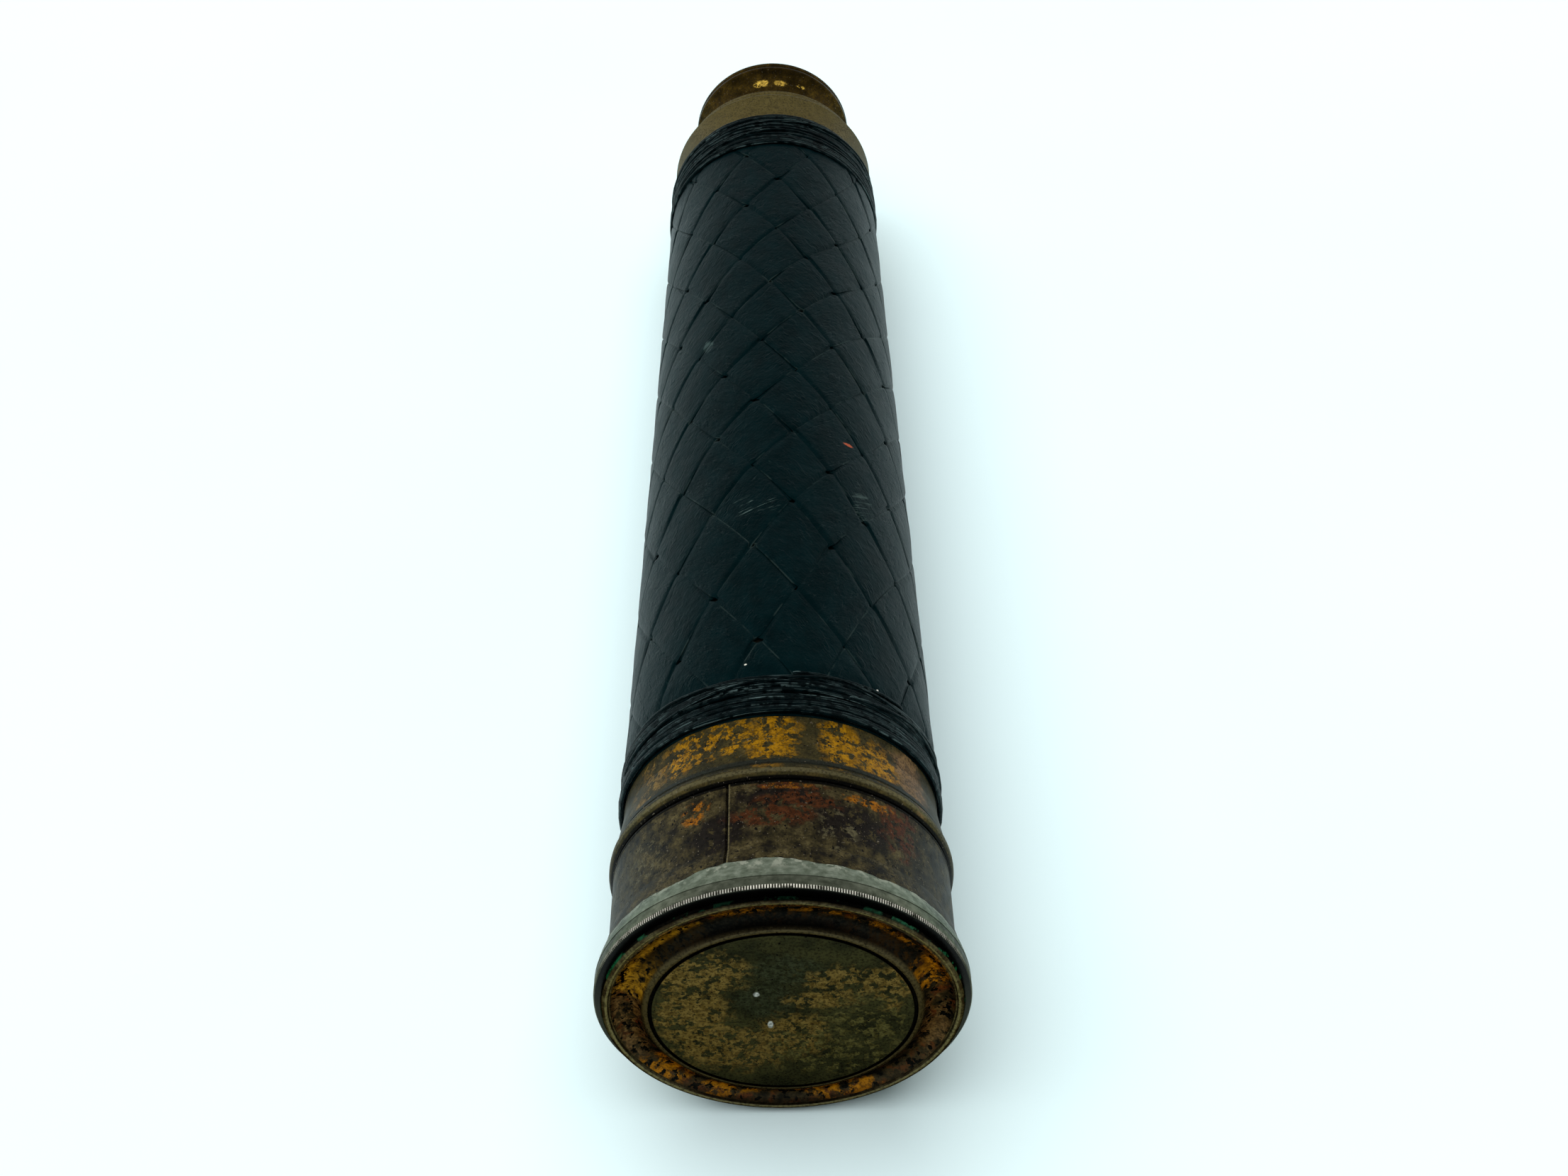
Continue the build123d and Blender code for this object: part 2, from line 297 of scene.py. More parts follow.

# Patches on the turned pieces: a colour, the flakes' thresholds, and blots as (arc, station) with
# their half sizes. Tones are the stops of a colour ramp; rings are (station, half width, colour) and paint
# lines of shadow and highlight.
SHADE_TONES = ((0.38, SOOT), (0.46, (0.034, 0.028, 0.013)), (0.54, (0.064, 0.051, 0.022)),
               (0.68, (0.120, 0.096, 0.042)))
SHADE_PATCHES = [
    ((0.014, 0.011, 0.009), (0.40, 0.47), [(0, 22, 8, 2.2), (12, 18, 8, 4), (-10, 16, 5, 4)]),
    (RUST, (0.44, 0.50), [(-1, 18.5, 7, 2.4), (4, 21.5, 7, 1.6), (1, 24.4, 6, 0.9), (22, 20, 4, 5)]),
    (ORANGE, (0.48, 0.54), [(-14.5, 21.5, 2.4, 2.4), (1, 24.5, 4, 0.7), (15, 23.4, 5, 1.0)]),
    ((0.105, 0.092, 0.050), (0.52, 0.56), [(9, 16, 3.5, 4), (-26, 17, 5, 5)]),
]
# painted shadow that the bead casts on the end of the ray shade tube
RAY_SHADE_BEAD_SHADOW = [(25.4, 0.55, BLACK)]
# a painted highlight along the seam's proud edge, then the dark joint line
SEAM_JOINT_AND_HIGHLIGHT = ((0.32, 0.20, (0.13, 0.11, 0.055)), (0.0, 0.22, BLACK))  # offset, half width, colour
BAND_TONES = ((0.34, (0.024, 0.022, 0.010)), (0.50, (0.050, 0.042, 0.016)), (0.66, (0.088, 0.066, 0.022)))
BAND_PATCHES = [
    (ROSE, (0.36, 0.40), [(25.5, 35, 4.0, 7.5)]),
    (GOLD, (0.50, 0.52), [(-17, 36.5, 5, 4.6), (-9, 37, 5, 5)]),
    (GOLD, (0.465, 0.48), [(-1.2, 35.5, 4.4, 6.8)]),
    (GOLD, (0.46, 0.475), [(10.8, 35.5, 4.0, 6.2), (17.5, 33.5, 4.2, 4.8)]),
    (OLD_GOLD, (0.50, 0.54), [(-26, 34, 5, 6)]),
]
# painted shade on the hollow behind the bead, a painted highlight on its crest and painted shadow on its
# front face
BAND_SHADE_AND_HIGHLIGHT_RINGS = [(29.6, 0.9, (0.024, 0.027, 0.020)), (27.2, 0.55, (0.115, 0.100, 0.048)), (26.0, 0.4, BLACK)]
BELL_TONES = ((0.34, (0.018, 0.012, 0.003)), (0.52, (0.050, 0.031, 0.006)), (0.72, (0.12, 0.074, 0.012)))
# painted glints on the bell's flare, laid out like patches
BELL_PAINTED_GLINTS = [
    (PAINTED_GLINT_GOLD, (0.44, 0.50), [(-2.8, 275.2, 2.0, 0.8), (2.4, 275.2, 1.7, 0.75), (8.0, 275.6, 1.0, 0.4)]),
]
# painted shadow round the bell's base, and a dark line in the rim's groove
BELL_SHADOW_AND_GROOVE_RINGS = [(268.6, 1.1, BLACK), (279.25, 0.2, BLACK)]
REAR_TONES = ((0.3, (0.105, 0.083, 0.026)), (0.7, (0.150, 0.120, 0.042)))
UNDER_TONES = ((0.3, BLACK), (0.7, SOOT))
SOLDER_TONES = ((0.082, 0.100, 0.070), (0.132, 0.158, 0.115), (0.215, 0.245, 0.190))
RIM_TONES = ((0.065, 0.074, 0.052), (0.105, 0.118, 0.084), (0.15, 0.165, 0.12))

MARK_RADIUS = 26.5  # radius at which the leather's marks are laid out
LEATHER_MARKS = [  # arc, station, half sizes, scratch threshold and colour
    (14.8, 118.6, 1.0, 0.4, 0.30, (0.34, 0.07, 0.03)),
    (-4.2, 96.0, 4.5, 2.6, 0.60, (0.08, 0.12, 0.11)),
    (-14.8, 153.0, 1.2, 1.8, 0.47, (0.034, 0.056, 0.053)),
    (17.1, 102.0, 2.2, 5.0, 0.56, (0.034, 0.052, 0.048)),
    (-5.4, 53.2, 0.22, 0.20, 0.20, (0.65, 0.65, 0.55)),
    (17.4, 51.6, 0.18, 0.18, 0.20, (0.55, 0.55, 0.5)),
]


# ---- materials
def pitted(paint, tarnish, size=0.7, share=0.36, shift=0.0):
    """Mixes small dark pits into a tarnished colour."""
    pits = paint.step(paint.noise(size, 3.0, shift=shift), share, share - 0.05)
    return paint.mix(pits, tarnish, BLACK), pits


def flaked(paint, base, patches, where, grain=1.7):
    """Lays broken patches over a base; each is a colour, the flakes' thresholds and its blots."""
    for number, (colour, share, blots) in enumerate(patches):
        shapes = [paint.spot(where, middle, size, 0.3, 1.5, 2.4) for middle, size in blots]
        flakes = paint.step(paint.noise(grain, 6.0, shift=number * 0.37, rough=0.70, where=where), *share)
        dark, light = (tuple(level * part for part in colour) for level in FLAKE_TONES)
        shade = paint.ramp(paint.noise(1.1, 5.0, shift=0.15, where=where), (0.36, dark), (0.58, light))
        base = paint.mix(paint.times(paint.most(*shapes), flakes), base, shade)
    return base


def cap_disc_paint(paint, cloud):
    """Olive disc with gold-olive patches and two nicks: its colour and its pits."""
    mottled = paint.ramp(cloud, (0.36, DARK_OLIVE), (0.60, OLIVE))
    patches = [(SMUDGE, (0.38, 0.48), SMUDGE_BLOTS), (FACE_GOLD, (0.46, 0.485), FACE_BLOTS),
               (FAINT_GOLD, (0.50, 0.53), FAINT_BLOTS)]
    disc, pits = pitted(paint, flaked(paint, mottled, patches, paint.place), 0.6)
    nicks = paint.most(*[paint.spot(paint.place, *nick, 0.3, 0.8, 0.5) for nick in NICKS])
    return paint.mix(nicks, disc, PALE), pits


def cap_cove_paint(paint, radius, height):
    """Cove round the disc: rusty, orange and gold in places, pitted, with painted shade over its inner half
    at the top.
    """
    cove = paint.ramp(paint.noise(2.6, 5.0, shift=0.7), (0.36, SOOT), (0.50, UMBER), (0.64, RUST))
    patches = [(COVE_ROSE, (0.45, 0.50), COVE_ROSY_BLOTS), (ORANGE, (0.46, 0.54), COVE_WARM_BLOTS),
               (COVE_GOLD, (0.44, 0.48), COVE_BRIGHT_BLOTS)]
    cove = flaked(paint, cove, patches, paint.place, 2.6)
    specks = paint.step(paint.noise(1.3, 3.0, shift=0.5), 0.43, 0.39)
    # painted shade: the inner half of the cove is blackened near its top
    top_shade = paint.times(paint.fade(radius, 27.0, 25.6), paint.fade(height, 4, 16))
    return paint.mix(paint.times(top_shade, 0.96), paint.mix(specks, cove, BLACK), BLACK)


def cap_material():
    """Dust cap, from the middle outwards: disc, groove, fillet, cove, land with a painted highlight line, and
    painted shadow in the gap at the flange.
    """
    paint = Paint("cap_brass_patina", Metallic=1.0, Specular_Tint=EDGE_TINT)
    radius = paint.radius()
    height = paint.part(2)
    cloud = paint.noise(7.0, 5.0, shift=0.3)
    fine = paint.noise(0.5, 4.0, shift=0.9)
    body, pits = cap_disc_paint(paint, cloud)
    cove = cap_cove_paint(paint, radius, height)
    land = paint.ramp(paint.noise(2.4, 5.0), (0.4, UMBER), (0.62, LAND_BRASS))
    # painted shadow in the gap between cap and flange: black near the top, dark olive at the sides
    gap = paint.mix(paint.fade(height, -4, 12), GAP_SHADE_OLIVE, BLACK)
    green = paint.times(paint.fade(radius, 29.85, 30.1), paint.step(paint.noise(2.2, 3.0), 0.52, 0.57))
    layers = [
        (paint.fade(radius, 22.2, 22.4), FILLET_BROWN),
        (paint.between(radius, 23.2, 23.7, 28.3, 28.7), cove),
        (paint.fade(radius, 28.5, 28.8), land),
        (paint.between(radius, 21.55, 21.75, 22.25, 22.45), BLACK),
        # painted highlight line on the land
        (paint.line(radius, 29.2, 0.26, 0.12), PAINTED_HIGHLIGHT_LINE),
        (paint.fade(radius, 29.92, 30.02), gap),
        (green, VERDIGRIS),
    ]
    for mask, colour in layers:
        body = paint.mix(mask, body, colour)
    paint.colour(paint.mix(paint.times(paint.step(fine, 0.52, 0.40), 0.55), body, SOOT))
    paint.gloss(cloud, 0.30, 0.50)
    paint.relief(paint.calc("SUBTRACT", paint.times(fine, 0.5), pits), 0.05)
    return paint.material


def band_material(name, radius, tones, patches=(), rings=(), rough=(0.28, 0.5), pit=0.34, seam=None):
    """Tarnished sheet brass, with rings of painted shadow and highlight; a seam is the turn of a dark joint
    line with a painted highlight along its proud edge.
    """
    paint = Paint(name, Metallic=0.55, IOR=1.28, Specular_Tint=EDGE_TINT)
    unrolled = paint.wrapped(radius)
    fine = paint.noise(0.45, 4.0, shift=0.8)
    placed = []
    for colour, share, blots in patches:
        spots = [((along, station, radius), (wide, deep, BLOT_REACH)) for along, station, wide, deep in blots]
        placed.append((colour, share, spots))
    base = paint.ramp(paint.noise(2.8, 8.0, shift=0.2, rough=0.68), *tones)
    base, pits = pitted(paint, flaked(paint, base, placed, unrolled), 0.8, pit, shift=0.4)
    # rings of painted shadow and highlight, and on the bell a dark line in the rim's groove
    for middle, half, colour in rings:
        base = paint.mix(paint.line(paint.part(1), middle, half, half * 0.4), base, colour)
    # the seam: a dark joint line and a painted highlight beside it
    if seam is not None:
        for offset, half, colour in SEAM_JOINT_AND_HIGHLIGHT:
            middle = math.radians(seam) * radius + offset
            base = paint.mix(paint.line(paint.part(0, unrolled), middle, half, half * 0.5), base, colour)
    base = paint.mix(paint.step(paint.noise(0.4, 2.0, shift=0.55), 0.68, 0.71), base, SPECK)
    paint.colour(paint.mix(paint.times(paint.step(fine, 0.52, 0.40), 0.5), base, SOOT))
    paint.gloss(paint.noise(2.0, 4.0), *rough)
    paint.relief(paint.calc("SUBTRACT", paint.times(fine, 0.4), pits), 0.04)
    return paint.material


def lit_milled_ring(paint, body, middle, half, teeth):
    """Notched ring of the mouth flange: painted highlights on the crests near its top, painted shade between
    the teeth, and painted shadow on its front face towards the cap.
    """
    station = paint.part(1)
    height = paint.part(2)
    ring = paint.line(station, middle, half, half * 0.7)
    crests = paint.step(paint.calc("COSINE", paint.times(paint.turn(), teeth)), 0.5, -0.6)
    glints = paint.times(paint.step(paint.noise(1.1, 3.0, shift=0.6), 0.30, 0.55), crests)
    # painted shade between the teeth
    body = paint.mix(paint.times(paint.step(crests, 0.9, 0.1), ring), body, SOOT)
    # painted highlights on the crests near the top
    body = paint.mix(paint.times(paint.fade(height, 8, 26), paint.times(ring, glints)), body, PAINTED_GLINT_TIN)
    # painted shadow on the front face: black near the top, dark olive at the sides
    shadowed = paint.mix(paint.fade(height, -4, 12), RIM_SHADE_OLIVE, BLACK)
    return paint.mix(paint.fade(station, 2.14, 2.02), body, shadowed)


def wiped_streaks(paint, body):
    """Light streaks where the solder was wiped thin over the tube."""
    streaks = paint.step(paint.noise(2.2, 6.0, shift=0.3, rough=0.65), 0.50, 0.58)
    return paint.mix(paint.times(streaks, paint.fade(paint.part(1), 5.6, 7.4)), body, WIPED_TIN)


def solder_material(name, metallic, tones, rough, glint_ring=None):
    """Soft solder: grey-green, dull and grainy; a glint ring is a station, half width and teeth, where
    painted highlights and shade go on the milled ring.
    """
    paint = Paint(name, Metallic=metallic, Specular_Tint=EDGE_TINT)
    tone = paint.noise(1.1, 6.0, stretch=(1.4, 1, 1.4), rough=0.6)
    body = paint.ramp(tone, *zip((0.34, 0.5, 0.68), tones))
    if glint_ring:
        paint.colour(lit_milled_ring(paint, body, *glint_ring))
    else:
        paint.colour(wiped_streaks(paint, body))
    paint.gloss(tone, *rough)
    paint.relief(paint.noise(0.6, 5.0), 0.06)
    return paint.material


def leather_marks(paint, tone):
    """Scuffs, a red fibre and two bright specks at their places on the leather."""
    unrolled = paint.wrapped(MARK_RADIUS)
    scratches = paint.noise(0.30, 3.0, where=unrolled, stretch=(22, 1, 1), lean=26)
    for along, station, wide, deep, share, colour in LEATHER_MARKS:
        size = (wide, deep, BLOT_REACH)
        mark = paint.spot(unrolled, (along, station, MARK_RADIUS), size, 0.25, 1.1, min(wide, deep))
        tone = paint.mix(paint.times(mark, paint.step(scratches, share, share + 0.03)), tone, colour)
    return tone


def leather_material():
    """Black painted strip leather: fibrous grain along the strip, grey where its edges are worn."""
    paint = Paint("plaited_leather_black", IOR=1.33, Specular_IOR_Level=0.06, Specular_Tint=HIDE_TINT)
    strip = paint.layer("strip")
    fibres = paint.noise(0.45, 5.0, stretch=(1, 4, 1), where=strip, rough=0.6)
    hide = paint.noise(3.5, 4.0, stretch=(1, 1.6, 1))
    worn = paint.noise(5.0, 5.0, shift=0.6)
    across = paint.calc("DIVIDE", paint.part(0, strip), STRIP_WIDTH * MM)
    from_middle = paint.calc("ABSOLUTE", paint.calc("SUBTRACT", across, 0.5))
    from_edge = paint.calc("SUBTRACT", 0.5, from_middle)
    edge = paint.times(paint.step(from_edge, 0.030, 0.014), paint.step(worn, 0.48, 0.60))
    rubbed = paint.times(paint.step(fibres, 0.58, 0.72), paint.step(worn, 0.44, 0.62))
    tone = paint.ramp(hide, (0.3, (0.0003, 0.0036, 0.0043)), (0.7, (0.0009, 0.0070, 0.0082)))
    tone = paint.mix(paint.times(rubbed, 0.5), tone, (0.018, 0.034, 0.034))
    tone = paint.mix(paint.times(edge, 0.5), tone, (0.024, 0.038, 0.035))
    paint.colour(leather_marks(paint, tone))
    paint.gloss(hide, 0.27, 0.42)
    creases = paint.step(paint.noise(1.6, 3.0, stretch=(1, 3, 1), where=strip, shift=0.2), 0.42, 0.36)
    wrinkles = paint.noise(2.2, 6.0, shift=0.4, rough=0.72)
    heights = paint.calc("MULTIPLY_ADD", fibres, 0.8, paint.times(creases, -0.6))
    paint.relief(paint.calc("MULTIPLY_ADD", wrinkles, 2.0, heights), 0.14)
    return paint.material


def cord_material():
    """Tarred whipping cord: black and waxy, with a laid twist and paler strands that are partly loose fibres
    and partly painted glints.
    """
    paint = Paint("whipping_cord_black", Specular_IOR_Level=0.07, Specular_Tint=CORD_TINT)
    lay = paint.layer("lay")
    fibres = paint.noise(0.30, 4.0, stretch=(7, 1, 1), where=lay, lean=24)
    tone = paint.noise(1.4, 5.0)
    body = paint.ramp(tone, (0.40, (0.0002, 0.0010, 0.0014)), (0.74, (0.0014, 0.0056, 0.0068)))
    strands = paint.noise(0.34, 4.0, stretch=(30, 1, 1), where=lay, shift=0.4)
    # pale strands: partly loose fibres, partly painted glints along the cord
    frayed_and_glinting = paint.times(paint.step(strands, 0.55, 0.61), paint.step(tone, 0.42, 0.54))
    paint.colour(paint.mix(frayed_and_glinting, body, (0.075, 0.112, 0.110)))
    paint.gloss(tone, 0.22, 0.42)
    heights = paint.calc("MULTIPLY_ADD", fibres, 0.8, paint.noise(0.5, 4.0))
    paint.relief(paint.calc("MULTIPLY_ADD", strands, 2.4, heights), 0.14)
    return paint.material


def drawn_brass_material():
    """Draw tubes: dull drawn brass with faint scratches along the slide."""
    paint = Paint("drawn_brass", Metallic=1.0)
    scratch = paint.noise(0.5, 5.0, stretch=(1, 40, 1))
    cloud = paint.noise(14.0, 4.0)
    paint.colour(paint.ramp(cloud, (0.3, (0.26, 0.16, 0.045)), (0.7, (0.52, 0.34, 0.11))))
    paint.gloss(scratch, 0.24, 0.44)
    paint.relief(scratch, 0.02)
    return paint.material


def blackened_material():
    """Inner brass under matt black lacquer, worn to brass in places."""
    paint = Paint("blackened_brass", Metallic=0.6)
    wear = paint.step(paint.noise(1.5, 5.0), 0.62, 0.70)
    paint.colour(paint.mix(wear, (0.012, 0.011, 0.010), OLD_GOLD))
    paint.gloss(wear, 0.62, 0.38)
    paint.relief(paint.noise(0.4, 4.0), 0.02)
    return paint.material


def glass_material():
    """Old optical glass with a faint haze of dust."""
    paint = Paint("optical_glass", Transmission_Weight=1.0, IOR=1.52)
    dust = paint.noise(1.2, 5.0)
    paint.colour(paint.ramp(dust, (0.4, (0.93, 0.97, 0.95)), (0.8, (0.80, 0.84, 0.80))))
    paint.gloss(paint.step(dust, 0.5, 0.8), 0.01, 0.08)
    return paint.material


# ---- turned meshes
def arc(first, middle, last, steps=10):
    """Points of the circular arc from first to last through middle, last one left out."""
    (ax, ay), (bx, by), (cx, cy) = first, middle, last
    d = 2 * (ax * (by - cy) + bx * (cy - ay) + cx * (ay - by))
    squares = [x * x + y * y for x, y in (first, middle, last)]
    ux = (squares[0] * (by - cy) + squares[1] * (cy - ay) + squares[2] * (ay - by)) / d
    uy = (squares[0] * (cx - bx) + squares[1] * (ax - cx) + squares[2] * (bx - ax)) / d
    size = math.hypot(ax - ux, ay - uy)
    angles = [math.atan2(y - uy, x - ux) for x, y in (first, middle, last)]
    sweep = (angles[2] - angles[0]) % math.tau
    if (angles[1] - angles[0]) % math.tau > sweep:
        sweep -= math.tau
    turned = [angles[0] + sweep * k / steps for k in range(steps)]
    return [(ux + size * math.cos(angle), uy + size * math.sin(angle)) for angle in turned]


def eased(corners, ease=0.15, steps=3):
    """Closed outline with its sharp corners rounded off by a small amount."""
    made = []
    count = len(corners)
    for k, corner in enumerate(corners):
        here = Vector(corner)
        back = Vector(corners[k - 1]) - here
        on = Vector(corners[(k + 1) % count]) - here
        doubled = here.x < 1e-6 or back.length < 1e-6 or on.length < 1e-6
        if doubled or back.angle(on) > math.radians(155):
            made.append(corner)
            continue
        start = here + back.normalized() * min(ease, back.length * 0.45)
        end = here + on.normalized() * min(ease, on.length * 0.45)
        for step in range(steps + 1):
            t = step / steps
            made.append(tuple(start * (1 - t) ** 2 + here * 2 * t * (1 - t) + end * t ** 2))
    return made


def even_turns(count):
    """Turns spread evenly round the axis."""
    return [360 * k / count for k in range(count)]


def around(turn, radius, station):
    """Point at a turn, radius and station."""
    angle = math.radians(turn)
    return radius * math.sin(angle), station, radius * math.cos(angle)


def skin(rings, size, closed=True):
    """Faces between rings of a size; the last joins the first, or both ends get a face."""
    faces = []
    for ring in range(rings if closed else rings - 1):
        here = ring * size
        there = (ring + 1) % rings * size
        for k in range(size):
            after = (k + 1) % size
            faces.append((here + k, here + after, there + after, there + k))
    if not closed:
        faces.append(tuple(range(size)))
        faces.append(tuple((rings - 1) * size + k for k in reversed(range(size))))
    return faces


def place_mesh(name, mesh, material, smooth_angle, merge=1e-6):
    """Makes an object of a mesh, merged, smooth-shaded and facing outwards."""
    work = bmesh.new()
    work.from_mesh(mesh)
    bmesh.ops.remove_doubles(work, verts=work.verts, dist=merge)
    bmesh.ops.dissolve_degenerate(work, edges=work.edges, dist=1e-7)
    bmesh.ops.recalc_face_normals(work, faces=work.faces)
    work.to_mesh(mesh)
    work.free()
    mesh.shade_smooth()
    mesh.set_sharp_from_angle(angle=math.radians(smooth_angle))
    mesh.materials.append(material)
    made = bpy.data.objects.new(name, mesh)
    bpy.context.scene.collection.objects.link(made)
    return made


def finish_mesh(name, vertices, faces, material, smooth_angle=35):
    """Makes an object from vertices in millimetres."""
    mesh = bpy.data.meshes.new(name)
    mesh.from_pydata([tuple(c * MM for c in vertex) for vertex in vertices], [], faces)
    return place_mesh(name, mesh, material, smooth_angle)


def lathe(name, outline, material, turns, shape=None):
    """Solid of revolution about the axis; shape(turn, radius, station) may alter each point."""
    if isinstance(turns, int):
        turns = even_turns(turns)
    vertices = []
    for turn in turns:
        for radius, station in outline:
            if shape:
                radius, station = shape(turn, radius, station)
            vertices.append(around(turn, radius, station))
    return finish_mesh(name, vertices, skin(len(turns), len(outline)), material)


def wobble(turn, count, size, shift=0.0):
    """Slow periodic waviness round the axis, of whole waves, for hand-made edges."""
    angle = math.radians(turn)
    return size * (math.sin(count * angle + shift) + 0.6 * math.sin((2 * count + 1) * angle + 2.3 * shift)
                   + 0.35 * math.sin((4 * count + 3) * angle + 1.7 * shift)) / 1.6


def dented(least, waves, size, drift):
    """Shape for lathe: slight dents where the radius is more than the least."""
    def shape(turn, radius, station):
        return radius + (wobble(turn, waves, size, station * drift) if radius > least else 0), station
    return shape


def stand_for(piece, body, slot, *nodes):
    """Sets a piece on its body and hides the CAD nodes that it stands for; slot is not used."""
    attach(piece, body)
    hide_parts(*nodes)
    return piece


# ---- brass pieces
def make_cap(material):
    """Dust cap's front plate: disc, groove, fillet, cove, ringed land and soft rim."""
    rim_r, front, back = span("cap_disc")
    plug_r = span("cap_spigot")[0]
    outline = [(0, front), (21.68, front), (21.74, front + 0.38), (22.26, front + 0.38),
               (22.32, front + 0.02)]
    outline += arc((22.32, 0.02), (22.75, -0.0), (23.2, 0.16), 5)
    outline += arc((23.2, 0.16), (25.5, 1.62), (28.4, 0.72), 16)
    outline += [(28.4, 0.72), (28.55, 0.86), (28.8, 0.86), (28.95, 0.55)]
    outline += arc((28.95, 0.55), (29.75, 0.5), (rim_r, 1.05), 6)
    outline += arc((rim_r, 1.05), (rim_r - 0.08, 1.5), (rim_r - 0.4, 1.7), 4)
    outline += [(plug_r + 0.02, 1.7), (plug_r, 1.75), (plug_r, back), (0, back)]
    cap = lathe("cap_front", outline, material, 288)
    stand_for(cap, "dust_cap", "cap_brass", "cap_disc")


def from_seam(turn):
    """Turn measured from the ray shade's seam, from -180 to 180."""
    return (turn - SHADE_SEAM + 180) % 360 - 180


def make_shade_tube(material, flare):
    """Sheet tube, its lengthwise seam sunk with the overlap standing a little proud."""
    tube_r, start, end = span("ray_shade_tube")
    rim_end = span("shade_bezel")[2]
    solder_end = span("shade_solder_fillet")[2]
    bore = tube_r - 0.9
    stations = [rim_end - 0.3 + k * (solder_end - rim_end + 0.3) / 14 for k in range(15)]
    outline = [(bore, start), (tube_r, start), (tube_r, rim_end - 0.4)]
    outline += [(flare(station), station) for station in stations]
    outline += eased([(tube_r, end - 0.6), (tube_r, end), (bore, end)], 0.2)[1:]
    seam_turns = [(SHADE_SEAM + away) % 360 for away in (-0.62, -0.3, -0.12, 0.2, 0.42)]

    def seamed(turn, radius, station):
        away = from_seam(turn)
        if radius > bore + 0.1 and station > rim_end:
            if -0.35 < away < 0.3:
                radius -= 0.42
            elif 0 < away < 14:
                radius += 0.10 * (1 - away / 14)
        return radius, station

    tube = lathe("shade_tube_seamed", outline, material, sorted(even_turns(240) + seam_turns), seamed)
    stand_for(tube, "ray_shade", "shade_brass", "ray_shade_tube")


def make_milled_rim(material):
    """Mouth flange, notched by milling round its front half."""
    tube_r = span("ray_shade_tube")[0]
    rim_r, start, end = span("shade_bezel")
    milled_end = start + 0.85
    outline = eased([(tube_r, start), (rim_r - 0.3, start), (rim_r - 0.02, start + 0.22)], 0.08)
    outline += [(rim_r, start + 0.35), (rim_r, milled_end - 0.05), (rim_r - 0.12, milled_end + 0.05),
                (rim_r - 0.03, milled_end + 0.35), (rim_r - 0.03, end - 0.6), (rim_r - 0.2, end),
                (tube_r, end)]

    def milled(turn, radius, station):
        if station < milled_end and radius > rim_r - 0.2:
            radius -= 0.11 * (1 + math.cos(math.radians(turn * RIM_TEETH)))
        return radius, station

    rim = lathe("shade_rim_milled", outline, material, RIM_TEETH * 4, milled)
    stand_for(rim, "ray_shade", "shade_brass", "shade_bezel")


def make_wiped_solder(material, flare):
    """Wiped solder: thick in the corner, feathering to a ragged edge, lumpy at the seam."""
    rows = 16
    tube_r = span("ray_shade_tube")[0]
    start = span("shade_bezel")[2] - 0.25

    def spread(turn, share):
        away = from_seam(turn)
        reach = 7.5 + wobble(turn, 3, 0.3, 0.8) + wobble(turn, 17, 0.20, 2.0) + wobble(turn, 43, 0.08, 1.0)
        reach += 1.2 * math.exp(-((away - 4) / 20) ** 2)
        station = start + share * (reach - start)
        ragged = wobble(turn, 23, 0.02, share * 6)
        lump = 0.16 * math.exp(-(away / 5) ** 2) * math.exp(-((share - 0.85) / 0.12) ** 2)
        thick = 0.26 * (1 - share ** 3) + 0.07 + 0.5 * ragged + lump
        return flare(station) + max(thick, 0.03), station

    vertices = []
    turns = even_turns(480)
    for turn in turns:
        ring = [spread(turn, k / (rows - 1)) for k in range(rows)]
        ring.append((ring[-1][0] - 0.35, ring[-1][1] - 0.05))
        ring.append((tube_r - 0.2, ring[0][1]))
        vertices += [around(turn, radius, station) for radius, station in ring]
    solder = finish_mesh("shade_solder_wiped", vertices, skin(len(turns), rows + 2), material, 50)
    stand_for(solder, "ray_shade", "soft_solder", "shade_solder_fillet")


def make_shade(tube_material, rim_material, grey_material):
    """Ray shade: seamed sheet tube flared to a milled flange, the joint wiped with solder."""
    tube_r = span("ray_shade_tube")[0]
    rim_r, _, rim_end = span("shade_bezel")
    solder_end = span("shade_solder_fillet")[2]
    rise = rim_r - 0.35 - tube_r

    def flare(station):
        """Outer radius of the sheet where it flares from the tube up to the flange."""
        share = min(max((solder_end - station) / (solder_end - rim_end), 0.0), 1.0)
        return tube_r + rise * share ** 0.85

    make_shade_tube(tube_material, flare)
    make_milled_rim(rim_material)
    make_wiped_solder(grey_material, flare)


def make_front_ferrule(material):
    """Bead, stepped cone and band at the barrel's mouth."""
    bead_r, start, end = span("front_ferrule")
    band_r = 28.16
    seat = span("objective_sleeve")[0]
    outline = [(seat, start), (bead_r - 0.75, start)]
    outline += arc((bead_r - 0.75, start), (bead_r, start + 1.35), (bead_r - 0.5, start + 2.85), 10)
    outline += [(bead_r - 0.5, start + 2.85), (bead_r - 0.72, start + 3.0), (bead_r - 0.72, start + 3.25),
                (bead_r - 0.6, start + 3.4)]
    outline += arc((bead_r - 0.6, start + 3.4), (28.95, 32.6), (28.4, 36.2), 10)
    outline += [(28.4, 36.2), (28.3, 36.5), (band_r, 36.7), (band_r, end), (band_r - 0.5, end),
                (27.98, start + 4.5), (seat, start + 4.1)]

    ferrule = lathe("front_ferrule_turned", outline, material, 288, dented(seat + 0.1, 4, 0.035, 0.4))
    stand_for(ferrule, "barrel", "ferrule_brass", "front_ferrule")


